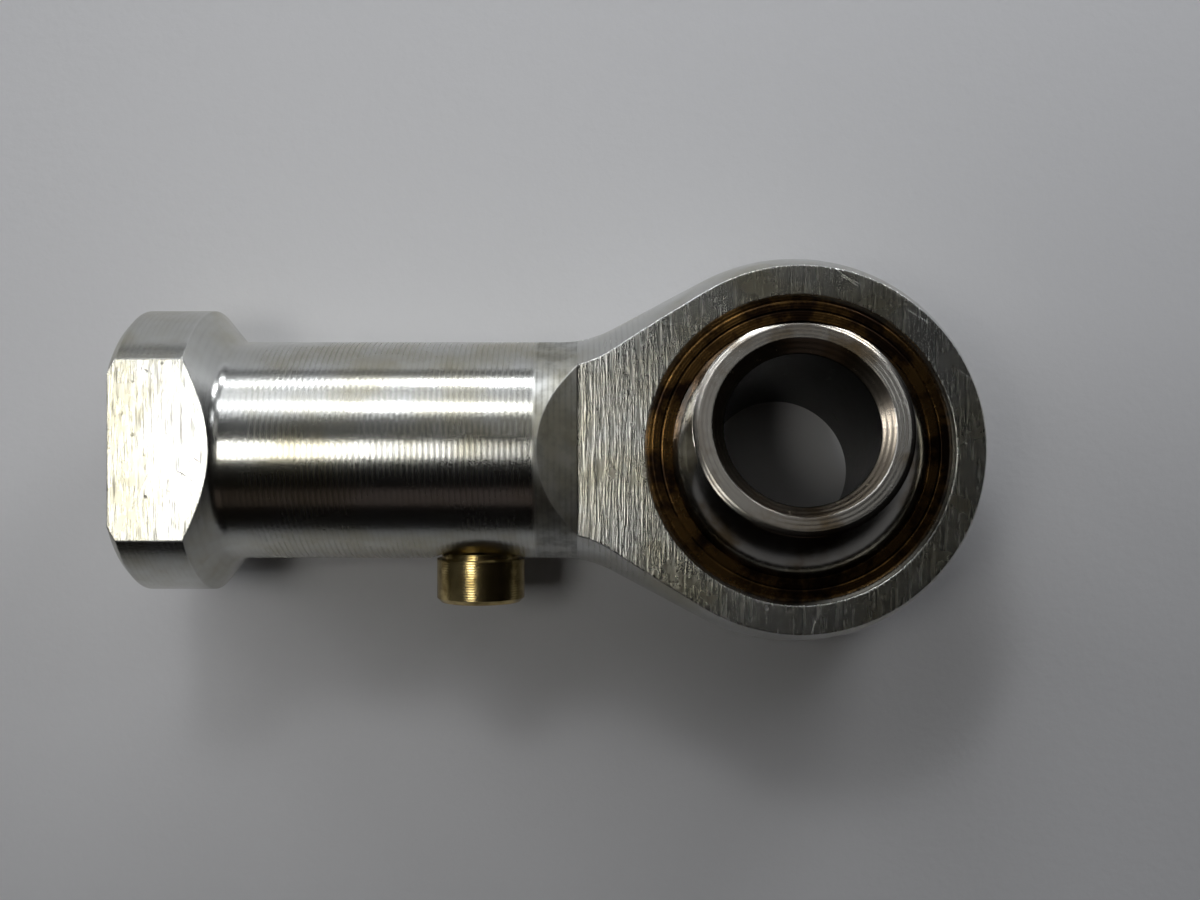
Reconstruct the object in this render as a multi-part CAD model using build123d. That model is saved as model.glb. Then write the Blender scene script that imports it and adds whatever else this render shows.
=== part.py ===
"""Female rod end bearing, 12 mm bore, M12 thread, steel eye on a bronze race.

Origin at the centre of the ball. The shank runs along -X, the grease nipple
points to -Y and the axis of the eye is Z. All sizes are in millimetres.
"""

from build123d import *
from math import cos, radians, sin, sqrt, tan
import os

# ball (inner ring)
bore_diameter = 12.0
bore_chamfer = 1.0
ball_width = 16.0
ball_diameter = 23.0
ball_face_chamfer = 0.25
ball_lean = 13.0            # degrees, top towards +Y, the far end of its swivel

# race
ball_clearance = 0.03       # radial, between the ball and its race
race_wall = 1.8             # thickness of the race at mid-plane
race_end_chamfer = 1.93     # 45 degree ends that the eye's lip is rolled over
race_sink = 0.07            # race face below the face of the eye
race_seat_clearance = 0.02
grease_groove_width = 1.6
grease_groove_depth = 0.5
race_hole_diameter = 1.5
race_hole_count = 4

# eye
eye_wall = 2.05             # steel round the race at mid-plane
eye_thickness = 12.0
mouth_chamfer = 0.32
shoulder_ramp = 42.0        # degrees, milled ramp from the eye face to the shank
eye_face_end = 17.1         # where the flat face stops, from the ball centre

# shank
shank_diameter = 17.5
shank_end = 52.0            # ball centre to the end face
flare_angle = 28.0          # degrees, taper from the shank out to the eye
flare_blend = 9.0

# wrench collar
collar_step = 2.5           # collar above the shank, on the radius
collar_land = 5.0
collar_edge = 0.6
collar_cone = 50.0          # degrees, slope of the shoulder
collar_root_blend = 0.9
flat_margin = 0.25          # wrench flats above the shank, each side

# threaded hole, M12 x 1.75, bored here at its major diameter
thread_diameter = 12.0
thread_pitch = 1.75
thread_depth = 20.0
thread_mouth_chamfer = 0.8
tap_drill_run = 1.0         # tap drill past the last full thread
drill_point = 118.0

# grease way
channel_diameter = 2.5
plug_setback = 1.4          # plug centre past the mouth of the channel
plug_clearance = 0.01
cross_channel_diameter = 2.0

# grease nipple
nipple_setback = 2.17       # nipple axis past the plug, along the shank
nipple_diameter = 7.1
nipple_reach = 3.55         # how far it stands out of the shank
nipple_bevel = 0.35
nipple_neck_diameter = 6.3
nipple_neck_length = 0.5
spot_face_diameter = 8.0
spot_face_depth = 0.45
stem_diameter = 5.5
stem_length = 4.9
stem_clearance = 0.01
funnel_diameter = 4.6
funnel_depth = 1.2
inlet_diameter = 1.4
inlet_length = 0.35
chamber_diameter = 2.9
outlet_diameter = 1.4
outlet_lip = 0.6

# check valve in the nipple
check_ball_diameter = 2.2
check_ball_gap = 0.02       # off its seat and off the end of the spring
spring_wire = 0.28
spring_turns = 5.0
spring_side_gap = 0.25      # coil to the wall of the chamber

ball_radius = ball_diameter / 2
race_bore_radius = ball_radius + ball_clearance
race_radius = race_bore_radius + race_wall
seat_radius = race_radius + race_seat_clearance
eye_radius = seat_radius + eye_wall
half_eye = eye_thickness / 2
shank_radius = shank_diameter / 2
collar_radius = shank_radius + collar_step
across_flats = shank_diameter + 2 * flat_margin
race_face = half_eye - race_sink
race_land = 2 * (race_face - race_end_chamfer)
thread_end = thread_depth - shank_end
drill_end = thread_end + tap_drill_run
tap_radius = (thread_diameter - thread_pitch) / 2
channel_radius = channel_diameter / 2
channel_mouth = drill_end + (tap_radius - channel_radius) / tan(radians(drill_point / 2))
plug_place = channel_mouth + plug_setback
nipple_place = plug_place + nipple_setback
spot_face = spot_face_depth - shank_radius
stem_end = spot_face + stem_length
nipple_tip = -shank_radius - nipple_reach
chamber_top = nipple_tip + funnel_depth + inlet_length
chamber_end = stem_end - outlet_lip
check_ball_radius = check_ball_diameter / 2
seat_drop = sqrt(check_ball_radius**2 - (inlet_diameter / 2) ** 2)
check_ball_place = chamber_top + seat_drop + check_ball_gap
far = eye_radius + shank_end


def rod(diameter, start, end, axis):
    """Solid cylinder between two places on the X, Y or Z axis."""
    turned = {"X": Rotation(0, 90, 0), "Y": Rotation(-90, 0, 0), "Z": Rotation(0, 0, 0)}
    middle = (start + end) / 2
    spot = {"X": (middle, 0, 0), "Y": (0, middle, 0), "Z": (0, 0, middle)}
    return Pos(*spot[axis]) * turned[axis] * Cylinder(diameter / 2, end - start)


def turned_about_z(points):
    """Solid turned about Z from an outline of (radius, height) points."""
    outline = [(r, 0, z) for r, z in points]
    return revolve(make_face(Polyline(*outline, close=True)), Axis.Z)


def turned_about_y(points):
    """Solid turned about Y from an outline of (radius, place along Y) points."""
    outline = [(r, y, 0) for r, y in points]
    return revolve(make_face(Polyline(*outline, close=True)), Axis.Y)


def housing_outline():
    """Half outline of the forged eye, turned shank and wrench collar."""
    lean = radians(flare_angle)
    touch = (-eye_radius * sin(lean), eye_radius * cos(lean))
    flare_foot = touch[0] - (touch[1] - shank_radius) / tan(lean)
    cone_rise = (collar_radius - shank_radius) / tan(radians(collar_cone))
    land_start = -shank_end + collar_edge + collar_land
    middle = radians(135 - flare_angle / 2)
    crown = (eye_radius * sin(middle - radians(90)), eye_radius * cos(middle - radians(90)))
    tip = (eye_radius, 0)
    arc = ThreePointArc(tip, crown, touch)
    shell = Polyline(
        touch,
        (flare_foot, shank_radius),
        (land_start + cone_rise, shank_radius),
        (land_start, collar_radius),
        (-shank_end + collar_edge, collar_radius),
        (-shank_end, collar_radius - collar_edge),
        (-shank_end, 0),
        tip,
    )
    face = make_face([arc, shell])
    foot = face.vertices().sort_by_distance((flare_foot, shank_radius))[0]
    face = fillet(foot, flare_blend)
    root = face.vertices().sort_by_distance((land_start + cone_rise, shank_radius))[0]
    return fillet(root, collar_root_blend)


def race_seat():
    """Hollow that the race sits in, with the lip rolled over its 45 degree ends."""
    land = race_land / 2
    lip_height = half_eye - mouth_chamfer
    lip_radius = seat_radius - (lip_height - land)
    half = [
        (seat_radius, land),
        (lip_radius, lip_height),
        (lip_radius + mouth_chamfer, half_eye),
        (lip_radius + mouth_chamfer, eye_thickness),
    ]
    lower = [(r, -z) for r, z in reversed(half)]
    return turned_about_z([(0, -eye_thickness), *lower, *half, (0, eye_thickness)])


def milled_face_cut():
    """What milling takes off above one face of the eye, with its ramp."""
    top = far
    run = (top - half_eye) / tan(radians(shoulder_ramp))
    outline = Polyline(
        (-eye_face_end, 0, half_eye),
        (far, 0, half_eye),
        (far, 0, top),
        (-eye_face_end - run, 0, top),
        close=True,
    )
    return extrude(make_face(outline), amount=far, dir=(0, 1, 0), both=True)


def wrench_flat_cut():
    """What milling takes off above one wrench flat."""
    length = 3 * collar_land
    height = 2 * collar_radius
    block = Box(length, 2 * height, height)
    return Pos(length / 2 - shank_end - 1, 0, (across_flats + height) / 2) * block


def thread_hole():
    """Threaded hole at its major diameter, the tap drill and its pointed end."""
    hole = rod(thread_diameter, -shank_end - 1, thread_end, "X")
    hole += rod(tap_radius * 2, -shank_end, drill_end, "X")
    point_height = tap_radius / tan(radians(drill_point / 2))
    point = Cone(tap_radius, 0, point_height)
    hole += Pos(drill_end + point_height / 2, 0, 0) * Rotation(0, 90, 0) * point
    mouth_radius = thread_diameter / 2 + thread_mouth_chamfer
    mouth = Cone(mouth_radius, thread_diameter / 2, thread_mouth_chamfer)
    return hole + Pos(thread_mouth_chamfer / 2 - shank_end, 0, 0) * Rotation(0, 90, 0) * mouth


def grease_way():
    """Axial channel to the race, cross channel, nipple hole and its spot face."""
    way = rod(channel_diameter, channel_mouth - 1, -eye_radius + race_wall, "X")
    across = rod(cross_channel_diameter, stem_end - 1, 0, "Y")
    across += rod(stem_diameter, -shank_diameter, stem_end, "Y")
    across += rod(spot_face_diameter, -shank_diameter, spot_face, "Y")
    return way + Pos(nipple_place, 0, 0) * across


def make_housing():
    """Eye, shank and wrench collar in one piece of steel."""
    body = revolve(housing_outline(), Axis.X)
    face_cut = milled_face_cut()
    body -= face_cut
    body -= mirror(face_cut, Plane.XY)
    flat_cut = wrench_flat_cut()
    body -= flat_cut
    body -= mirror(flat_cut, Plane.XY)
    body -= race_seat()
    body -= thread_hole()
    return body - grease_way()


def make_race():
    """Bronze race swaged round the ball, greased through an outer groove."""
    land = race_land / 2
    end_radius = race_radius - (race_face - land)
    groove = grease_groove_width / 2
    outer = [
        (end_radius, -race_face),
        (race_radius, -land),
        (race_radius, -groove),
        (race_radius - grease_groove_depth, -groove),
        (race_radius - grease_groove_depth, groove),
        (race_radius, groove),
        (race_radius, land),
        (end_radius, race_face),
    ]
    race = turned_about_z([(0, -race_face), *outer, (0, race_face)])
    race -= Sphere(race_bore_radius)
    for number in range(race_hole_count):
        hole = rod(race_hole_diameter, race_bore_radius - 1, race_radius + 1, "X")
        race -= Rotation(0, 0, number * 360 / race_hole_count) * hole
    return race


def make_ball():
    """Inner ring: a ground sphere with flat ends and a chamfered bore."""
    half = ball_width / 2
    bore = bore_diameter / 2
    mouth = bore + bore_chamfer
    ring = Sphere(ball_radius) & Cylinder(ball_diameter, ball_width)
    ring = chamfer(ring.edges().filter_by(GeomType.CIRCLE).filter_by_position(
        Axis.Z, -half - 0.01, half + 0.01), ball_face_chamfer)
    ring -= turned_about_z([
        (0, -half - 1),
        (mouth + 1, -half - 1),
        (bore, bore_chamfer - half),
        (bore, half - bore_chamfer),
        (mouth + 1, half + 1),
        (0, half + 1),
    ])
    return Rotation(-ball_lean, 0, 0) * ring


def make_plug():
    """Steel ball pressed into the channel, between the thread and the grease."""
    return Pos(plug_place, 0, 0) * Sphere(channel_radius - plug_clearance)


def make_nipple():
    """Drive-in nipple: funnel mouth, inlet, valve chamber and plain stem."""
    rim = nipple_diameter / 2
    neck = nipple_neck_diameter / 2
    stem = stem_diameter / 2 - stem_clearance
    neck_top = spot_face - nipple_neck_length
    body = turned_about_y([
        (0, nipple_tip),
        (rim - nipple_bevel, nipple_tip),
        (rim, nipple_tip + nipple_bevel),
        (rim, neck_top),
        (neck, neck_top),
        (neck, spot_face),
        (stem, spot_face),
        (stem, stem_end - nipple_bevel),
        (stem - nipple_bevel, stem_end),
        (0, stem_end),
    ])
    body -= turned_about_y([
        (0, nipple_tip - 1),
        (funnel_diameter / 2, nipple_tip - 1),
        (funnel_diameter / 2, nipple_tip),
        (inlet_diameter / 2, nipple_tip + funnel_depth),
        (inlet_diameter / 2, chamber_top),
        (chamber_diameter / 2, chamber_top),
        (chamber_diameter / 2, chamber_end),
        (outlet_diameter / 2, chamber_end),
        (outlet_diameter / 2, stem_end + 1),
        (0, stem_end + 1),
    ])
    return Pos(nipple_place, 0, 0) * body


def make_check_ball():
    """Ball that shuts the inlet of the nipple from inside."""
    return Pos(nipple_place, check_ball_place, 0) * Sphere(check_ball_radius)


def make_spring():
    """Wire spring between the check ball and the lip at the end of the stem."""
    coil_radius = chamber_diameter / 2 - spring_side_gap - spring_wire / 2
    touch = sqrt((check_ball_radius + check_ball_gap + spring_wire / 2) ** 2 - coil_radius**2)
    first = check_ball_place + touch
    last = chamber_end - spring_wire / 2
    length = last - first
    path = Helix(length / spring_turns, length, coil_radius)
    section = Plane(path @ 0, z_dir=path % 0) * Circle(spring_wire / 2)
    coil = sweep(section, path=path)
    return Pos(nipple_place, first, 0) * Rotation(-90, 0, 0) * coil


os.makedirs("parts", exist_ok=True)

pieces = {
    "housing": make_housing(),
    "outer_race": make_race(),
    "ball": make_ball(),
    "channel_plug": make_plug(),
    "nipple_body": make_nipple(),
    "nipple_check_ball": make_check_ball(),
    "nipple_spring": make_spring(),
}

for name, piece in pieces.items():
    export_step(piece, f"parts/{name}.step")
    print(name, round(piece.volume, 3))
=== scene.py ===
import math

import bpy
import numpy as np
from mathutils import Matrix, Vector


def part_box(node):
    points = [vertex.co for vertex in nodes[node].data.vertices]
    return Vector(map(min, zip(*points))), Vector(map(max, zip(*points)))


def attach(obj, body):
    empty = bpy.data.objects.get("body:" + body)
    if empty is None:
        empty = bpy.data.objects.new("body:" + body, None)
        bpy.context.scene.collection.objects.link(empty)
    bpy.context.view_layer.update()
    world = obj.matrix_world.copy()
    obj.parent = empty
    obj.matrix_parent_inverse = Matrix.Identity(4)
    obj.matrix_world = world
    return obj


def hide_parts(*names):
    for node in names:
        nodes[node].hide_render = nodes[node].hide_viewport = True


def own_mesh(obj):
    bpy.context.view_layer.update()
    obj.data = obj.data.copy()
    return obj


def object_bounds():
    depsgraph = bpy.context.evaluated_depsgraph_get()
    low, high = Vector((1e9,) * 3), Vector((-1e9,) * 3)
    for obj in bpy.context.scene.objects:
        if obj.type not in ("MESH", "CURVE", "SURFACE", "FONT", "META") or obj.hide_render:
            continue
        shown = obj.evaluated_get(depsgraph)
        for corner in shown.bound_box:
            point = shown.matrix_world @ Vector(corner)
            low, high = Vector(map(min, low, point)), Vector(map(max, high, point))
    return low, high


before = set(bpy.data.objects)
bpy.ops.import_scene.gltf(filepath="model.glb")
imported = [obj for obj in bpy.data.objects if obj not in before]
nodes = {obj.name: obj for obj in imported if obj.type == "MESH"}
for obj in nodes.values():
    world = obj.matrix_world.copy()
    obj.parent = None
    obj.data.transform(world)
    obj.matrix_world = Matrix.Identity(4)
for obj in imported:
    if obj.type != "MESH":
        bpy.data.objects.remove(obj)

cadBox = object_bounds()
mm = 0.001
print("stage 1: frame loaded,", len(nodes), "pieces")


# small helpers for colours, shader nodes and meshes

multiply = {"operation": "MULTIPLY"}
multiplyAdd = {"operation": "MULTIPLY_ADD"}       # first times second, plus third
subtract = {"operation": "SUBTRACT"}
larger = {"operation": "MAXIMUM"}
absolute = {"operation": "ABSOLUTE"}
sine = {"operation": "SINE"}
vectorLength = {"operation": "LENGTH"}
smooth = {"interpolation_type": "SMOOTHSTEP"}     # 0 at the first bound, 1 at the second
inColour = {"data_type": "RGBA"}


def hexToLinear(code):
    # sRGB hex to linear: x / 12.92 below 0.04045, else ((x + 0.055) / 1.055) ^ 2.4
    parts = [int(code[i:i + 2], 16) / 255 for i in (1, 3, 5)]
    linear = [c / 12.92 if c <= 0.04045 else ((c + 0.055) / 1.055) ** 2.4 for c in parts]
    return (*linear, 1.0)


def addNode(tree, kind, settings=None, links=None):
    # settings are the node's own options, links are its inputs by name or number: a value,
    # a socket, or another node, which stands for its first output
    node = tree.nodes.new(kind)
    for key, value in (settings or {}).items():
        setattr(node, key, value)
    for key, value in (links or {}).items():
        if isinstance(value, bpy.types.Node):
            value = value.outputs[0]
        if isinstance(value, bpy.types.NodeSocket):
            tree.links.new(value, node.inputs[key])
        else:
            node.inputs[key].default_value = value
    return node


def startMaterial(name):
    # the place on a piece comes in millimetres from the middle of the ball
    material = bpy.data.materials.new(name)
    material.use_nodes = True
    tree = material.node_tree
    tree.nodes.clear()
    place = addNode(tree, "ShaderNodeTexCoord").outputs["Object"]
    inMm = addNode(tree, "ShaderNodeVectorMath", {"operation": "SCALE"},
                   {0: place, "Scale": 1 / mm})
    return material, tree, inMm


def finishMaterial(tree, values):
    shader = addNode(tree, "ShaderNodeBsdfPrincipled", None, values)
    addNode(tree, "ShaderNodeOutputMaterial", None, {0: shader})


def paint(node, material):
    mesh = nodes[node].data
    mesh.materials.clear()
    mesh.materials.append(material)


def meshFromGrid(name, grid):
    # grid is rows x columns x 3: each row is a closed ring, rows follow each other along
    # the piece, and the first and last are capped
    rows, columns = grid.shape[:2]
    number = np.arange(rows * columns).reshape(rows, columns)
    a = number[:-1]
    b = number[1:]
    quads = np.stack([a, np.roll(a, -1, 1), np.roll(b, -1, 1), b], -1).reshape(-1, 4)
    faces = quads.tolist() + [number[0][::-1].tolist(), number[-1].tolist()]
    mesh = bpy.data.meshes.new(name)
    mesh.from_pydata(grid.reshape(-1, 3).tolist(), [], faces)
    mesh.validate()
    piece = bpy.data.objects.new(name, mesh)
    bpy.context.scene.collection.objects.link(piece)
    return piece


def reliefNormal(tree, height, edge=None):
    # height is in millimetres, edge is the radius that sharp corners seem rounded to
    links = {"Height": height, "Distance": mm, "Strength": 1.0}
    if edge:
        links["Normal"] = addNode(tree, "ShaderNodeBevel", {"samples": 6}, {"Radius": edge})
    return addNode(tree, "ShaderNodeBump", None, links)


def radiusAboutZ(tree, place):
    # square root of x squared plus y squared
    flat = addNode(tree, "ShaderNodeVectorMath", multiply, {0: place, 1: (1, 1, 0)})
    return addNode(tree, "ShaderNodeVectorMath", vectorLength, {0: flat}).outputs["Value"]


# housing: forged steel, turned on the shank and collar, milled on the flats, bright zinc plate

housingLook = {
    "plate": "#CDCECB",        # zinc with a trace of yellow
    "plateWarm": "#B7B3A0",
    "dirt": "#5A574C",
    "bright": "#E4E4E2",       # rubbed edges
    "rampStart": -20.4,        # mm, where the shank's fillet runs up to the eye
    "rampEnd": -17.2,          # mm, where the milled face of the eye begins
    "collarStart": -42.0,      # mm, where the collar's cone begins
    "flatStart": -44.25,       # mm, where the wrench flat begins
    "ringPitch": 0.435,        # mm, feed of the turning tool
    "ringDepth": 0.0060,       # mm
    "ringDrift": 16.0,         # mm over which the rings wander
    "ringPatches": (8.0, 4.5, 4.5),   # mm, stretches with deeper rings
    "collarRings": 0.35,       # share of the ring depth that is left on the collar
    "ringsEnd": (-9.0, -15.0), # mm, no rings from the first, all of them past the second
    "grain": (0.14, 2.0, 2.0), # mm, torn grain between the rings
    "grainDepth": 0.0050,      # mm
    "peel": 0.32,              # mm, size of the plate's orange peel
    "peelDepth": 0.0050,       # mm
    "strokeWidth": 0.34,       # mm, milling strokes on the flats
    "strokeLength": 3.6,       # mm
    "strokeDepth": 0.046,      # mm
    "hairWidth": 0.14,         # mm, fine strokes between them
    "hairDepth": 0.022,        # mm
    "scratches": ((24, 0.30, 9.0), (-58, 0.34, 6.0)),   # slant in degrees, width, length in mm
    "scratchShare": (0.70, 0.76),     # only the crests of the noise are scratched
    "scratchDepth": 0.012,     # mm
    "scratchDeep": 5.0,        # mm, how far the noise holds along Z
    "nickSize": 1.1,           # mm between nicks
    "nickReach": (0.14, 0.04), # share of that size
    "nickPatches": 2.4,        # mm
    "nickDepth": 0.018,        # mm
    "cloud": 7.0,              # mm, warm patches in the plate
    "blotch": 1.4,             # mm, stains on the ramp
    "edge": 0.16 * mm,
    "wearReach": 0.22 * mm,
    "wearShare": 0.6,
    "roughTurned": 0.21,
    "roughMilled": 0.23,
    "roughRamp": 0.52,
    "drawnOut": 0.76,          # reflections run across the tool marks
}


def scratchesAt(tree, place, slant, width, along):
    # thin lines of one slant: the crests of a drawn-out noise
    look = housingLook
    turned = addNode(tree, "ShaderNodeMapping", None, {
        "Vector": place, "Rotation": (0, 0, math.radians(slant)), "Location": (slant, 0, 0)})
    drawn = addNode(tree, "ShaderNodeMapping", None, {
        "Vector": turned, "Scale": (1 / width, 1 / along, 1 / look["scratchDeep"])})
    lines = addNode(tree, "ShaderNodeTexNoise", None, {
        "Vector": drawn, "Scale": 1.0, "Detail": 2.0, "Roughness": 0.5})
    low, high = look["scratchShare"]
    return addNode(tree, "ShaderNodeMapRange", smooth, {0: lines, 1: low, 2: high})


def edgeWear(tree, reach):
    # how far the normal turns within reach of a corner: 1 less the dot of both normals
    soft = addNode(tree, "ShaderNodeBevel", {"samples": 6}, {"Radius": reach})
    own = addNode(tree, "ShaderNodeNewGeometry").outputs["Normal"]
    match = addNode(tree, "ShaderNodeVectorMath", {"operation": "DOT_PRODUCT"},
                    {0: soft, 1: own}).outputs["Value"]
    return addNode(tree, "ShaderNodeMapRange", smooth, {0: match, 1: 0.995, 2: 0.93})


def zincPlatedSteel():
    # Bright zinc over turned and milled steel: sharp reflections drawn out across the marks,
    # rings round the shank, strokes on the flats, orange peel, nicks from handling.
    look = housingLook
    material, tree, inMm = startMaterial("zincPlatedSteel")
    x, y, z = addNode(tree, "ShaderNodeSeparateXYZ", None, {0: inMm}).outputs
    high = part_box("housing")[1].z / mm
    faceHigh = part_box("outer_race")[1].z / mm
    height = addNode(tree, "ShaderNodeMath", absolute, {0: z})

    # where the steel is milled, turned, or left by the ramp's fillet
    aboveRace = addNode(tree, "ShaderNodeMapRange", smooth, {
        0: height, 1: faceHigh - 0.02, 2: faceHigh + 0.04})
    pastRamp = addNode(tree, "ShaderNodeMapRange", smooth, {
        0: x, 1: look["rampEnd"] - 0.05, 2: look["rampEnd"] + 0.05})
    onEye = addNode(tree, "ShaderNodeMath", multiply, {0: aboveRace, 1: pastRamp})
    atTop = addNode(tree, "ShaderNodeMapRange", smooth, {0: height, 1: high - 0.06, 2: high - 0.02})
    pastCollar = addNode(tree, "ShaderNodeMapRange", smooth, {
        0: x, 1: look["flatStart"] + 0.25, 2: look["flatStart"] - 0.25})
    onFlat = addNode(tree, "ShaderNodeMath", multiply, {0: atTop, 1: pastCollar})
    milled = addNode(tree, "ShaderNodeMath", larger, {0: onEye, 1: onFlat})
    turned = addNode(tree, "ShaderNodeMath", subtract, {0: 1.0, 1: milled})
    afterShank = addNode(tree, "ShaderNodeMapRange", smooth, {
        0: x, 1: look["rampStart"] - 0.2, 2: look["rampStart"] + 0.2})
    beforeEye = addNode(tree, "ShaderNodeMapRange", smooth, {
        0: x, 1: look["rampEnd"] + 0.05, 2: look["rampEnd"] - 0.05})
    onRamp = addNode(tree, "ShaderNodeMath", multiply, {0: afterShank, 1: beforeEye})

    # rings: a sine of the place along the shank, deeper in some stretches than in others
    drift = addNode(tree, "ShaderNodeTexNoise", None, {
        "Vector": inMm, "Scale": 1 / look["ringDrift"], "Detail": 2.0, "Roughness": 0.5})
    turn = addNode(tree, "ShaderNodeMath", multiply, {0: x, 1: 2 * math.pi / look["ringPitch"]})
    turn = addNode(tree, "ShaderNodeMath", multiplyAdd, {0: drift, 1: 3.0, 2: turn})
    wave = addNode(tree, "ShaderNodeMath", sine, {0: turn})
    ring = addNode(tree, "ShaderNodeMath", multiply, {0: wave, 1: look["ringDepth"] / 2})
    patchPlace = addNode(tree, "ShaderNodeMapping", None, {
        "Vector": inMm, "Scale": [1 / size for size in look["ringPatches"]]})
    patchy = addNode(tree, "ShaderNodeTexNoise", None, {
        "Vector": patchPlace, "Scale": 1.0, "Detail": 2.0, "Roughness": 0.5})
    patchy = addNode(tree, "ShaderNodeMapRange", smooth, {0: patchy, 1: 0.30, 2: 0.70})
    deeper = addNode(tree, "ShaderNodeMath", multiplyAdd, {0: patchy, 1: 0.5, 2: 0.6})
    ring = addNode(tree, "ShaderNodeMath", multiply, {0: ring, 1: deeper})
    onCollar = addNode(tree, "ShaderNodeMapRange", smooth, {
        0: x, 1: look["collarStart"] + 1.0, 2: look["collarStart"] - 1.0})
    fade = addNode(tree, "ShaderNodeMath", multiplyAdd, {
        0: onCollar, 1: look["collarRings"] - 1.0, 2: 1.0})
    none, full = look["ringsEnd"]
    fromEye = addNode(tree, "ShaderNodeMapRange", smooth, {0: x, 1: none, 2: full})
    fade = addNode(tree, "ShaderNodeMath", multiply, {0: fade, 1: fromEye})
    ring = addNode(tree, "ShaderNodeMath", multiply, {0: ring, 1: fade})
    grainPlace = addNode(tree, "ShaderNodeMapping", None, {
        "Vector": inMm, "Scale": [1 / size for size in look["grain"]]})
    grain = addNode(tree, "ShaderNodeTexNoise", None, {
        "Vector": grainPlace, "Scale": 1.0, "Detail": 3.0, "Roughness": 0.6})
    turnedHeight = addNode(tree, "ShaderNodeMath", multiplyAdd, {
        0: grain, 1: look["grainDepth"], 2: ring})

    # strokes along Y on the flats, in two widths
    strokePlace = addNode(tree, "ShaderNodeMapping", None, {
        "Vector": inMm, "Scale": [1 / look["strokeWidth"], 1 / look["strokeLength"], 1.0]})
    stroke = addNode(tree, "ShaderNodeTexNoise", None, {
        "Vector": strokePlace, "Scale": 1.0, "Detail": 3.0, "Roughness": 0.55})
    hairPlace = addNode(tree, "ShaderNodeMapping", None, {
        "Vector": inMm, "Scale": [1 / look["hairWidth"], 2 / look["strokeLength"], 1.0]})
    hair = addNode(tree, "ShaderNodeTexNoise", None, {
        "Vector": hairPlace, "Scale": 1.0, "Detail": 2.0, "Roughness": 0.5})
    milledHeight = addNode(tree, "ShaderNodeMath", multiply, {0: stroke, 1: look["strokeDepth"]})
    milledHeight = addNode(tree, "ShaderNodeMath", multiplyAdd, {
        0: hair, 1: look["hairDepth"], 2: milledHeight})

    # scratches at two slants, nicks, orange peel
    oneWay, otherWay = [scratchesAt(tree, inMm, *values) for values in look["scratches"]]
    scratches = addNode(tree, "ShaderNodeMath", larger, {0: oneWay, 1: otherWay})
    share = addNode(tree, "ShaderNodeMath", multiplyAdd, {0: milled, 1: 0.65, 2: 0.15})
    scratches = addNode(tree, "ShaderNodeMath", multiply, {0: scratches, 1: share})
    cells = addNode(tree, "ShaderNodeTexVoronoi", {"feature": "F1"}, {
        "Vector": inMm, "Scale": 1 / look["nickSize"]}).outputs["Distance"]
    some = addNode(tree, "ShaderNodeTexNoise", None, {
        "Vector": inMm, "Scale": 1 / look["nickPatches"], "Detail": 1.0, "Roughness": 0.5})
    some = addNode(tree, "ShaderNodeMapRange", smooth, {0: some, 1: 0.46, 2: 0.66})
    share = addNode(tree, "ShaderNodeMath", multiplyAdd, {0: milled, 1: 0.75, 2: 0.25})
    some = addNode(tree, "ShaderNodeMath", multiply, {0: some, 1: share})
    rim, heart = look["nickReach"]
    nick = addNode(tree, "ShaderNodeMapRange", smooth, {0: cells, 1: rim, 2: heart})
    nick = addNode(tree, "ShaderNodeMath", multiply, {0: nick, 1: some})
    peel = addNode(tree, "ShaderNodeTexNoise", None, {
        "Vector": inMm, "Scale": 1 / look["peel"], "Detail": 2.0, "Roughness": 0.5})

    relief = addNode(tree, "ShaderNodeMix", None, {0: milled, 2: turnedHeight, 3: milledHeight})
    relief = addNode(tree, "ShaderNodeMath", multiplyAdd, {
        0: peel, 1: look["peelDepth"], 2: relief})
    relief = addNode(tree, "ShaderNodeMath", multiplyAdd, {
        0: nick, 1: -look["nickDepth"], 2: relief})
    relief = addNode(tree, "ShaderNodeMath", multiplyAdd, {
        0: scratches, 1: -look["scratchDepth"], 2: relief})

    # colour: plate with warm patches, dirt in the marks, rubbed edges
    cloud = addNode(tree, "ShaderNodeTexNoise", None, {
        "Vector": inMm, "Scale": 1 / look["cloud"], "Detail": 4.0, "Roughness": 0.6})
    warm = addNode(tree, "ShaderNodeMapRange", smooth, {0: cloud, 1: 0.35, 2: 0.72})
    colour = addNode(tree, "ShaderNodeMix", inColour, {
        0: warm, 6: hexToLinear(look["plate"]), 7: hexToLinear(look["plateWarm"])}).outputs[2]
    blotch = addNode(tree, "ShaderNodeTexNoise", None, {
        "Vector": inMm, "Scale": 1 / look["blotch"], "Detail": 3.0, "Roughness": 0.6})
    blotch = addNode(tree, "ShaderNodeMapRange", smooth, {0: blotch, 1: 0.38, 2: 0.66})
    pits = addNode(tree, "ShaderNodeMapRange", smooth, {0: stroke, 1: 0.44, 2: 0.30})
    pits = addNode(tree, "ShaderNodeMath", multiply, {0: pits, 1: milled})
    pits = addNode(tree, "ShaderNodeMath", multiply, {0: pits, 1: 0.45})
    inNick = addNode(tree, "ShaderNodeMath", multiply, {0: nick, 1: 0.35})
    dirt = addNode(tree, "ShaderNodeMath", larger, {0: inNick, 1: pits})
    groove = addNode(tree, "ShaderNodeMapRange", smooth, {0: wave, 1: 0.0, 2: -0.9})
    onRings = addNode(tree, "ShaderNodeMath", multiply, {0: turned, 1: fade})
    groove = addNode(tree, "ShaderNodeMath", multiply, {0: groove, 1: onRings})
    share = addNode(tree, "ShaderNodeMath", multiplyAdd, {0: patchy, 1: 0.16, 2: 0.04})
    groove = addNode(tree, "ShaderNodeMath", multiply, {0: groove, 1: share})
    dirt = addNode(tree, "ShaderNodeMath", larger, {0: dirt, 1: groove})
    share = addNode(tree, "ShaderNodeMath", multiplyAdd, {0: onRamp, 1: 0.26, 2: 0.04})
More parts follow.
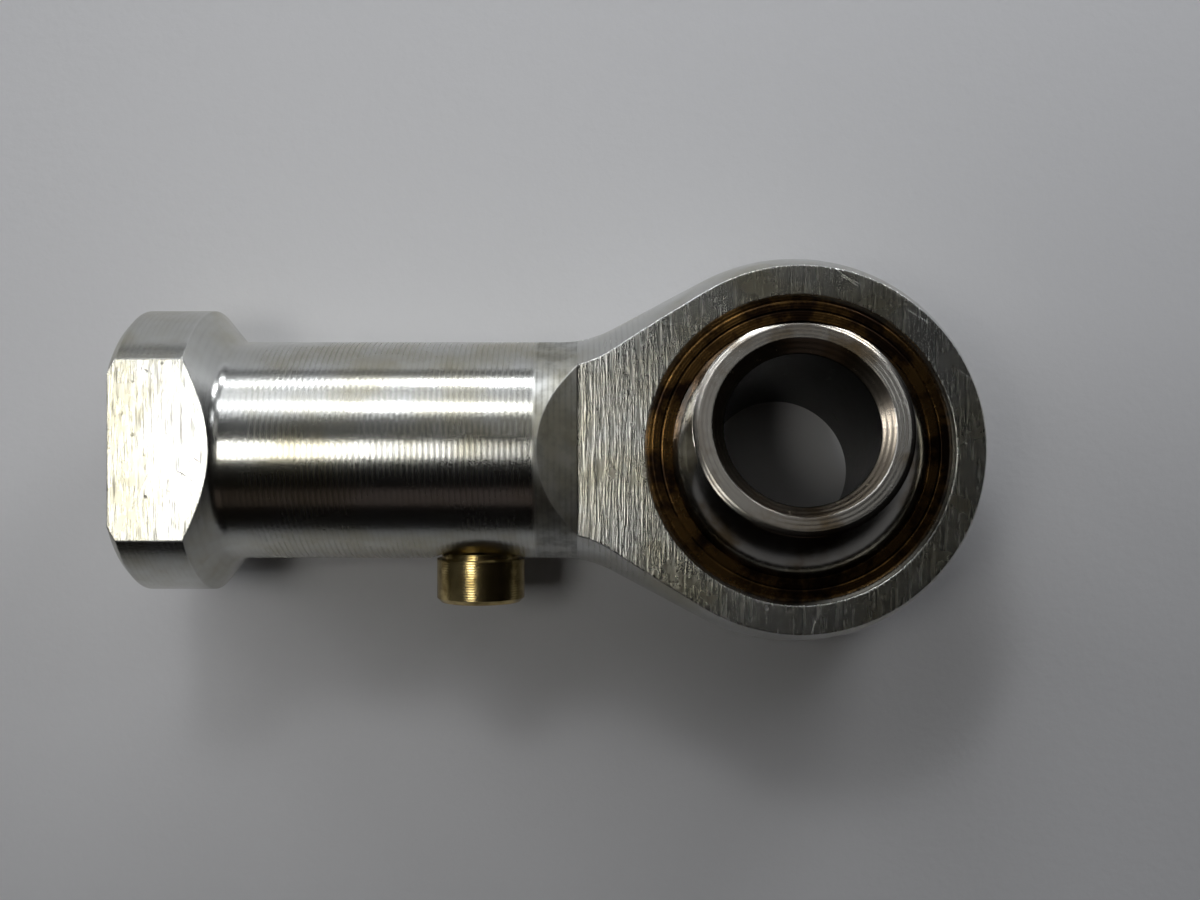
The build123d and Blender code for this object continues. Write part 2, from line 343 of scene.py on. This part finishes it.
    dirt = addNode(tree, "ShaderNodeMath", multiplyAdd, {0: blotch, 1: share, 2: dirt})
    colour = addNode(tree, "ShaderNodeMix", inColour, {
        0: dirt, 6: colour, 7: hexToLinear(look["dirt"])}).outputs[2]
    worn = edgeWear(tree, look["wearReach"])
    worn = addNode(tree, "ShaderNodeMath", multiply, {0: worn, 1: look["wearShare"]})
    colour = addNode(tree, "ShaderNodeMix", inColour, {
        0: worn, 6: colour, 7: hexToLinear(look["bright"])}).outputs[2]

    rough = addNode(tree, "ShaderNodeMix", None, {
        0: milled, 2: look["roughTurned"], 3: look["roughMilled"]})
    rough = addNode(tree, "ShaderNodeMix", None, {0: onRamp, 2: rough, 3: look["roughRamp"]})
    rough = addNode(tree, "ShaderNodeMath", multiplyAdd, {0: cloud, 1: 0.06, 2: rough})
    rough = addNode(tree, "ShaderNodeMath", multiplyAdd, {0: dirt, 1: 0.25, 2: rough})
    around = addNode(tree, "ShaderNodeTangent", {"direction_type": "RADIAL", "axis": "X"})
    finishMaterial(tree, {
        "Base Color": colour, "Metallic": 1.0, "Roughness": rough,
        "Normal": reliefNormal(tree, relief, look["edge"]),
        "Anisotropic": look["drawnOut"], "Anisotropic Rotation": 0.25, "Tangent": around})
    return material


# race: bronze, darkened by oil, with a fine step near its outer edge that carries a near-black line
# of painted shade

raceLook = {
    "bronze": "#94703F",
    "oiled": "#2E2118",
    # painted shade: the line along the step is coloured almost black
    "paintedStepShade": "#0C0806",
    "stepRadius": 10.72,       # mm
    "stepWidth": 0.16,         # mm
    "stepDepth": 0.03,         # mm
    "feed": 0.22,              # mm between the turning rings
    "ringDepth": 0.002,        # mm
    "cloud": 3.3,              # mm, patches of oil
    "cloudDepth": 0.015,       # mm
    "edge": 0.08 * mm,
    "rough": 0.16,
}


def oiledBronze():
    # Swaged bronze with a film of old oil: gold where it is rubbed, brown where oil stands; the
    # step is painted near black as shade.
    look = raceLook
    material, tree, inMm = startMaterial("oiledBronze")
    radius = radiusAboutZ(tree, inMm)
    groove = addNode(tree, "ShaderNodeMath", subtract, {0: radius, 1: look["stepRadius"]})
    groove = addNode(tree, "ShaderNodeMath", absolute, {0: groove})
    groove = addNode(tree, "ShaderNodeMapRange", smooth, {0: groove, 1: look["stepWidth"], 2: 0.0})
    rings = addNode(tree, "ShaderNodeMath", multiply, {0: radius, 1: 2 * math.pi / look["feed"]})
    rings = addNode(tree, "ShaderNodeMath", sine, {0: rings})
    rings = addNode(tree, "ShaderNodeMath", multiply, {0: rings, 1: look["ringDepth"]})
    cloud = addNode(tree, "ShaderNodeTexNoise", None, {
        "Vector": inMm, "Scale": 1 / look["cloud"], "Detail": 5.0, "Roughness": 0.65})
    stain = addNode(tree, "ShaderNodeMapRange", smooth, {0: cloud, 1: 0.34, 2: 0.60})
    colour = addNode(tree, "ShaderNodeMix", inColour, {
        0: stain, 6: hexToLinear(look["bronze"]), 7: hexToLinear(look["oiled"])}).outputs[2]
    # painted shade: the step is darkened almost to black, at 85 per cent
    dark = addNode(tree, "ShaderNodeMath", multiply, {0: groove, 1: 0.85})
    colour = addNode(tree, "ShaderNodeMix", inColour, {
        0: dark, 6: colour, 7: hexToLinear(look["paintedStepShade"])}).outputs[2]
    relief = addNode(tree, "ShaderNodeMath", multiplyAdd, {
        0: cloud, 1: look["cloudDepth"], 2: rings})
    relief = addNode(tree, "ShaderNodeMath", multiplyAdd, {
        0: groove, 1: -look["stepDepth"], 2: relief})
    rough = addNode(tree, "ShaderNodeMath", multiplyAdd, {0: cloud, 1: 0.25, 2: look["rough"]})
    finishMaterial(tree, {
        "Base Color": colour, "Metallic": 1.0, "Roughness": rough,
        "Normal": reliefNormal(tree, relief, look["edge"])})
    return material


# ball: hardened steel, ground sphere, turned end faces and bore chamfers

ballLook = {
    "steel": "#9D9A94",
    "oilTint": "#6E5E46",
    "paintedBoreShade": "#1E1A16",     # painted shade: the bore wall darkened almost to black
    "toolMark": 0.34,          # mm between the turning marks
    "markDepth": 0.006,        # mm
    "markDrift": 8.0,          # mm over which the marks wander
    "scuff": 0.83,             # mm
    "scuffDepth": 0.006,       # mm
    "fine": 0.17,              # mm
    "fineDepth": 0.003,        # mm
    "film": 4.8,               # mm, patches of oil
    "lean": 13.0,              # degrees, as the ball is stored
    "sphere": 11.5,            # mm, radius
    "bore": 6.0,               # mm, radius
    "chamfer": 7.0,            # mm, radius where the bore chamfer meets the face
    "edge": 0.12 * mm,
    "roughGround": 0.11,
    "roughTurned": 0.22,
}


def groundSteel():
    # Ground and lapped steel: dark mirror on the sphere, concentric tool marks on the end
    # faces and chamfers, a brown film of oil, and painted shade that darkens the bore wall.
    look = ballLook
    material, tree, inMm = startMaterial("groundSteel")
    level = addNode(tree, "ShaderNodeMapping", None, {
        "Vector": inMm, "Rotation": (math.radians(look["lean"]), 0, 0)})
    radius = radiusAboutZ(tree, level)
    reach = addNode(tree, "ShaderNodeVectorMath", vectorLength, {0: level}).outputs["Value"]
    face = addNode(tree, "ShaderNodeMapRange", smooth, {
        0: reach, 1: look["sphere"] - 0.03, 2: look["sphere"] - 0.10})
    bore = addNode(tree, "ShaderNodeMapRange", smooth, {
        0: radius, 1: look["bore"] + 0.06, 2: look["bore"] + 0.02})
    turned = addNode(tree, "ShaderNodeMath", subtract, {0: face, 1: bore})
    swing = addNode(tree, "ShaderNodeTexNoise", None, {
        "Vector": level, "Scale": 1 / look["markDrift"], "Detail": 2.0, "Roughness": 0.5})
    marks = addNode(tree, "ShaderNodeMath", multiply, {
        0: radius, 1: 2 * math.pi / look["toolMark"]})
    marks = addNode(tree, "ShaderNodeMath", multiplyAdd, {0: swing, 1: 4.0, 2: marks})
    marks = addNode(tree, "ShaderNodeMath", sine, {0: marks})
    marks = addNode(tree, "ShaderNodeMath", multiply, {0: marks, 1: turned})
    marks = addNode(tree, "ShaderNodeMath", multiply, {0: marks, 1: look["markDepth"] / 2})
    scuff = addNode(tree, "ShaderNodeTexNoise", None, {
        "Vector": level, "Scale": 1 / look["scuff"], "Detail": 4.0, "Roughness": 0.6})
    fine = addNode(tree, "ShaderNodeTexNoise", None, {
        "Vector": level, "Scale": 1 / look["fine"], "Detail": 3.0, "Roughness": 0.6})
    fine = addNode(tree, "ShaderNodeMath", multiply, {0: fine, 1: turned})
    relief = addNode(tree, "ShaderNodeMath", multiplyAdd, {
        0: scuff, 1: look["scuffDepth"], 2: marks})
    relief = addNode(tree, "ShaderNodeMath", multiplyAdd, {
        0: fine, 1: look["fineDepth"], 2: relief})
    film = addNode(tree, "ShaderNodeTexNoise", None, {
        "Vector": level, "Scale": 1 / look["film"], "Detail": 4.0, "Roughness": 0.6})
    film = addNode(tree, "ShaderNodeMapRange", smooth, {0: film, 1: 0.45, 2: 0.72})
    colour = addNode(tree, "ShaderNodeMix", inColour, {
        0: film, 6: hexToLinear(look["steel"]), 7: hexToLinear(look["oilTint"])}).outputs[2]
    chamfer = addNode(tree, "ShaderNodeMapRange", smooth, {
        0: radius, 1: look["chamfer"], 2: look["chamfer"] - 0.1})
    chamfer = addNode(tree, "ShaderNodeMath", multiply, {0: chamfer, 1: turned})
    chamfer = addNode(tree, "ShaderNodeMath", multiply, {0: chamfer, 1: 0.6})
    colour = addNode(tree, "ShaderNodeMix", inColour, {
        0: chamfer, 6: colour, 7: hexToLinear(look["oilTint"])}).outputs[2]
    # painted shade: the bore wall is coloured almost black
    boreShadeShare = addNode(tree, "ShaderNodeMath", multiply, {0: bore, 1: face})
    boreShadeShare = addNode(tree, "ShaderNodeMath", multiply, {0: boreShadeShare, 1: 0.9})
    colour = addNode(tree, "ShaderNodeMix", inColour, {
        0: boreShadeShare, 6: colour, 7: hexToLinear(look["paintedBoreShade"])}).outputs[2]
    rough = addNode(tree, "ShaderNodeMix", None, {
        0: face, 2: look["roughGround"], 3: look["roughTurned"]})
    rough = addNode(tree, "ShaderNodeMath", multiplyAdd, {0: scuff, 1: 0.08, 2: rough})
    finishMaterial(tree, {
        "Base Color": colour, "Metallic": 1.0, "Roughness": rough,
        "Normal": reliefNormal(tree, relief, look["edge"])})
    return material


# nipple: turned brass

nippleLook = {
    "brass": "#D2BC84",
    "tarnish": "#84703F",
    "feed": 0.20,              # mm
    "ringDepth": 0.0012,       # mm
    "cloud": 1.8,              # mm, patches of tarnish
    "cloudDepth": 0.020,       # mm
    "edge": 0.12 * mm,
    "rough": 0.15,
}


def turnedBrass():
    # Free-cutting brass from an automatic lathe: tight rings round its axis, slight tarnish.
    look = nippleLook
    material, tree, inMm = startMaterial("turnedBrass")
    y = addNode(tree, "ShaderNodeSeparateXYZ", None, {0: inMm}).outputs[1]
    rings = addNode(tree, "ShaderNodeMath", multiply, {0: y, 1: 2 * math.pi / look["feed"]})
    rings = addNode(tree, "ShaderNodeMath", sine, {0: rings})
    rings = addNode(tree, "ShaderNodeMath", multiply, {0: rings, 1: look["ringDepth"]})
    cloud = addNode(tree, "ShaderNodeTexNoise", None, {
        "Vector": inMm, "Scale": 1 / look["cloud"], "Detail": 5.0, "Roughness": 0.65})
    relief = addNode(tree, "ShaderNodeMath", multiplyAdd, {
        0: cloud, 1: look["cloudDepth"], 2: rings})
    dull = addNode(tree, "ShaderNodeMapRange", smooth, {0: cloud, 1: 0.38, 2: 0.68})
    colour = addNode(tree, "ShaderNodeMix", inColour, {
        0: dull, 6: hexToLinear(look["brass"]), 7: hexToLinear(look["tarnish"])}).outputs[2]
    rough = addNode(tree, "ShaderNodeMath", multiplyAdd, {0: cloud, 1: 0.16, 2: look["rough"]})
    finishMaterial(tree, {
        "Base Color": colour, "Metallic": 1.0, "Roughness": rough,
        "Normal": reliefNormal(tree, relief, look["edge"])})
    return material


# small steel pieces inside: check ball, plug, spring and the cut thread

steelLook = {
    # name: colour, roughness, grain in mm
    "bearingBallSteel": ("#B4B2AC", 0.10, 0.4),
    "plugBallSteel": ("#A8A6A0", 0.16, 0.4),
    "drawnWire": ("#8E8C88", 0.28, 0.2),
    "cutThreadSteel": ("#9C9A92", 0.30, 0.5),
    "springWire": ("#8E8C88", 0.28, 0.2),
}
steelStain = "#5E5A50"
steelGrainDepth = 0.004        # mm


def plainSteel(name):
    # Bright steel with a fine grain, as drawn wire, a bearing ball or a tapped thread has.
    code, rough, grain = steelLook[name]
    material, tree, inMm = startMaterial(name)
    cloud = addNode(tree, "ShaderNodeTexNoise", None, {
        "Vector": inMm, "Scale": 1 / grain, "Detail": 4.0, "Roughness": 0.6})
    stain = addNode(tree, "ShaderNodeMapRange", smooth, {0: cloud, 1: 0.35, 2: 0.7})
    colour = addNode(tree, "ShaderNodeMix", inColour, {
        0: stain, 6: hexToLinear(code), 7: hexToLinear(steelStain)}).outputs[2]
    rough = addNode(tree, "ShaderNodeMath", multiplyAdd, {0: cloud, 1: 0.15, 2: rough})
    relief = addNode(tree, "ShaderNodeMath", multiply, {0: cloud, 1: steelGrainDepth})
    finishMaterial(tree, {
        "Base Color": colour, "Metallic": 1.0, "Roughness": rough,
        "Normal": reliefNormal(tree, relief)})
    return material


paint("housing", zincPlatedSteel())
paint("outer_race", oiledBronze())
paint("ball", groundSteel())
paint("nipple_body", turnedBrass())
paint("nipple_check_ball", plainSteel("bearingBallSteel"))
paint("channel_plug", plainSteel("plugBallSteel"))
paint("nipple_spring", plainSteel("drawnWire"))
print("stage 2: finishes on the CAD pieces")


# thread ridge: the female M12 thread that stands in the bore

threadShape = {
    "pitch": 1.75 * mm,
    "major": 6.02 * mm,       # just inside the wall, so that no gap shows
    "minor": 5.053 * mm,
    "rootWidth": 1.50 * mm,   # at the wall
    "crestWidth": 0.44 * mm,  # at the crest
    "crestRound": 0.04 * mm,
    "sunkShare": 0.03,        # share of the depth that the foot lies inside the wall
    "deepest": 0.03 * mm,     # no point lies further inside the wall than this
    "start": -52.0 * mm,
    "end": -31.9 * mm,
    "mouthRadius": 6.8 * mm,  # the chamfer at the mouth cuts the first turns away
    "leadIn": 1.52 * mm,      # from the mouth to the middle of the ridge where it begins
    "risingTurns": 0.6,       # turns in which the ridge rises to its full depth
    "startShare": 0.04,       # share of its depth at its first section
    "stepsPerTurn": 72,
}


def makeThread():
    # a trapezoid carried along a helix: x = start + pitch * t / 2 pi + offset(s),
    # y = r(s) cos t, z = r(s) sin t, with r never less than the mouth's 45 degree cone;
    # it begins past the chamfer with almost no depth, so that no section is flattened
    shape = threadShape
    turns = (shape["end"] - shape["start"]) / shape["pitch"]
    first = 2 * math.pi * shape["leadIn"] / shape["pitch"]
    t = np.linspace(first, 2 * math.pi * turns, int(turns * shape["stepsPerTurn"]))[:, None]
    root = shape["rootWidth"] / 2
    crest = shape["crestWidth"] / 2
    soft = shape["crestRound"]
    sunk = -shape["sunkShare"]
    offset = np.array([-root, -crest - soft, -crest, crest, crest + soft, root, root, -root])
    depth = np.array([0.0, 0.95, 1.0, 1.0, 0.95, 0.0, sunk, sunk])
    rising = (t - first) / (2 * math.pi * shape["risingTurns"])
    rising = np.clip(rising, shape["startShare"], 1.0)
    depth = np.where(depth > 0, depth * rising, depth)
    x = shape["start"] + shape["pitch"] * t / (2 * math.pi) + offset
    radius = shape["major"] - depth * (shape["major"] - shape["minor"])
    cone = shape["mouthRadius"] - (x - shape["start"])
    radius = np.minimum(np.maximum(radius, cone), shape["major"] + shape["deepest"])
    grid = np.stack([x, radius * np.cos(t), radius * np.sin(t)], -1)
    return meshFromGrid("thread_ridge", grid)


thread = makeThread()
thread.data.materials.append(plainSteel("cutThreadSteel"))
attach(thread, "rod_end")
print("stage 3: thread made,", len(thread.data.polygons), "faces")


# valve spring: the coil in the nipple, at the length of the CAD spring; the real one shortens as
# its ball lifts

springShape = {
    "wire": 0.28 * mm,
    "turns": 5.0,
    "shortened": 0.875,       # share of its length at full lift
    "stepsPerTurn": 48,
    "stepsRound": 12,
}


def makeSpring():
    # a circle carried along a helix: centre (R sin t, first + rise t, R cos t), and round it
    # r (outward cos s + across sin s), where across is square to outward and to the path
    shape = springShape
    lowEnd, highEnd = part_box("nipple_spring")
    middle = (lowEnd + highEnd) / 2
    wire = shape["wire"] / 2
    radius = (highEnd.x - lowEnd.x) / 2 - wire
    first = lowEnd.y + wire
    length = highEnd.y - lowEnd.y - 2 * wire
    t = np.linspace(0, 2 * math.pi * shape["turns"], int(shape["turns"] * shape["stepsPerTurn"]))
    t = t[:, None]
    s = np.linspace(2 * math.pi, 0, shape["stepsRound"], endpoint=False)[None, :]
    rise = length / t[-1, 0]
    slope = math.atan2(rise, radius)
    out = radius + wire * np.cos(s)
    along = wire * np.sin(s)
    x = middle.x + out * np.sin(t) - along * math.sin(slope) * np.cos(t)
    y = first + rise * t + along * math.cos(slope)
    z = middle.z + out * np.cos(t) + along * math.sin(slope) * np.sin(t)
    return meshFromGrid("valve_spring", np.stack([x, y, z], -1)), highEnd


spring, springSeat = makeSpring()
spring.data.materials.append(plainSteel("springWire"))
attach(spring, "rod_end")
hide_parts("nipple_spring")
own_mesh(spring)
print("stage 4: spring made,", len(spring.data.polygons), "faces")


# floor, lights and camera

low, high = cadBox
floorLook = {
    "size": 3.0,              # metres
    "paper": "#D6D6D8",
    "fibreShade": "#B8B8B8",
    "fibre": 1.1,             # mm
    "fibreDepth": 0.03,       # mm
    "rough": 0.85,
    "collarRest": 9.0 * mm,
}
lampLook = {
    # name: place and aim in mm from the ball, width and depth in mm, spread in degrees,
    # power in watts, colour
    "keyLamp": ((-91, -1, 169), (-46, 0, 0), (50, 50), 55, 0.0056, "#FFFDF8"),
    "windowLamp": ((-240, 504, 431), (-15, 0, 0), (400, 330), 180, 0.50, "#FAFCFF"),
    "nearWindowLamp": ((-56, 153, 153), (-15, 0, 0), (40, 30), 180, 0.052, "#FAFCFF"),
    "rightLamp": ((97, 112, 153), (-15, 0, 0), (36, 36), 180, 0.019, "#FAFCFF"),
    "lowRightLamp": ((97, 179, 61), (-15, 0, 0), (60, 14), 180, 0.11, "#FAFCFF"),
    "lowLamp": ((-30, 211, 61), (-15, 0, 0), (60, 14), 180, 0.066, "#FAFCFF"),
    "farLowLamp": ((-362, 577, 193), (-15, 0, 0), (300, 45), 180, 0.55, "#FAFCFF"),
    "farLeftLamp": ((-635, 263, 193), (-15, 0, 0), (400, 45), 180, 1.35, "#FAFCFF"),
    "ceilingLamp": ((6, 80, 190), (0, 0, 0), (70, 60), 180, 0.0055, "#FFFDF8"),
    "frontLamp": ((-15, -220, 185), (-15, 0, 0), (240, 90), 180, 0.0035, "#FFE6DC"),
}
cameraLook = {"place": (-15.4, 0.0, 100.0), "lens": 36.8, "sensor": 36.0, "clip": 0.005}
roomLook = {
    "dark": "#1A1716",        # towards -Y
    "pale": "#6C6E70",        # towards +Y
    "strength": 0.28,
}


def makeFloor():
    # a plane that the leaning ball and the collar both touch
    drop = (-low.z) - floorLook["collarRest"]
    span = -low.x
    t = np.linspace(-0.5, 0.5, 2)
    x, y = np.meshgrid(t * floorLook["size"], t * floorLook["size"], indexing="ij")
    z = low.z - drop / span * x
    mesh = bpy.data.meshes.new("floor")
    points = np.stack([x, y, z], -1).reshape(-1, 3)
    mesh.from_pydata(points.tolist(), [], [(0, 2, 3, 1)])
    floor = bpy.data.objects.new("floor", mesh)
    bpy.context.scene.collection.objects.link(floor)
    material, tree, inMm = startMaterial("copierPaper")
    fibre = addNode(tree, "ShaderNodeTexNoise", None, {
        "Vector": inMm, "Scale": 1 / floorLook["fibre"], "Detail": 4.0, "Roughness": 0.6})
    relief = addNode(tree, "ShaderNodeMath", multiply, {0: fibre, 1: floorLook["fibreDepth"]})
    shade = addNode(tree, "ShaderNodeMath", multiply, {0: fibre, 1: 0.10})
    colour = addNode(tree, "ShaderNodeMix", inColour, {
        0: shade, 6: hexToLinear(floorLook["paper"]),
        7: hexToLinear(floorLook["fibreShade"])}).outputs[2]
    finishMaterial(tree, {
        "Base Color": colour, "Roughness": floorLook["rough"],
        "Normal": reliefNormal(tree, relief)})
    mesh.materials.append(material)


def makeLamp(name, place, aim, size, spread, power, code):
    data = bpy.data.lights.new(name, "AREA")
    data.shape = "RECTANGLE"
    data.size = size[0] * mm
    data.size_y = size[1] * mm
    data.spread = math.radians(spread)
    data.energy = power
    data.color = hexToLinear(code)[:3]
    lamp = bpy.data.objects.new(name, data)
    bpy.context.scene.collection.objects.link(lamp)
    lamp.location = [c * mm for c in place]
    way = Vector([a - p for a, p in zip(aim, place)])
    lamp.rotation_euler = way.to_track_quat("-Z", "Y").to_euler()
    lamp.visible_camera = False


def makeWorld():
    # room light: pale towards +Y, dark towards -Y where a person stands
    world = bpy.data.worlds.new("room")
    bpy.context.scene.world = world
    world.use_nodes = True
    tree = world.node_tree
    tree.nodes.clear()
    place = addNode(tree, "ShaderNodeTexCoord").outputs["Generated"]
    split = addNode(tree, "ShaderNodeSeparateXYZ", None, {0: place})
    side = addNode(tree, "ShaderNodeMath", multiplyAdd, {
        0: split.outputs[0], 1: -0.5, 2: split.outputs[1]})
    side = addNode(tree, "ShaderNodeMapRange", smooth, {0: side, 1: -0.2, 2: 0.65})
    colour = addNode(tree, "ShaderNodeMix", inColour, {
        0: side, 6: hexToLinear(roomLook["dark"]), 7: hexToLinear(roomLook["pale"])}).outputs[2]
    back = addNode(tree, "ShaderNodeBackground", None, {
        "Color": colour, "Strength": roomLook["strength"]})
    addNode(tree, "ShaderNodeOutputWorld", None, {0: back})


def makeCamera():
    data = bpy.data.cameras.new("camera")
    data.lens = cameraLook["lens"]
    data.sensor_width = cameraLook["sensor"]
    data.clip_start = cameraLook["clip"]
    camera = bpy.data.objects.new("camera", data)
    bpy.context.scene.collection.objects.link(camera)
    camera.location = [c * mm for c in cameraLook["place"]]
    camera.rotation_euler = (0, 0, 0)
    bpy.context.scene.camera = camera


makeFloor()
for lampName, values in lampLook.items():
    makeLamp(lampName, *values)
makeWorld()
makeCamera()
bpy.context.scene.view_settings.view_transform = "Standard"
print("stage 5: floor, lamps and camera set")
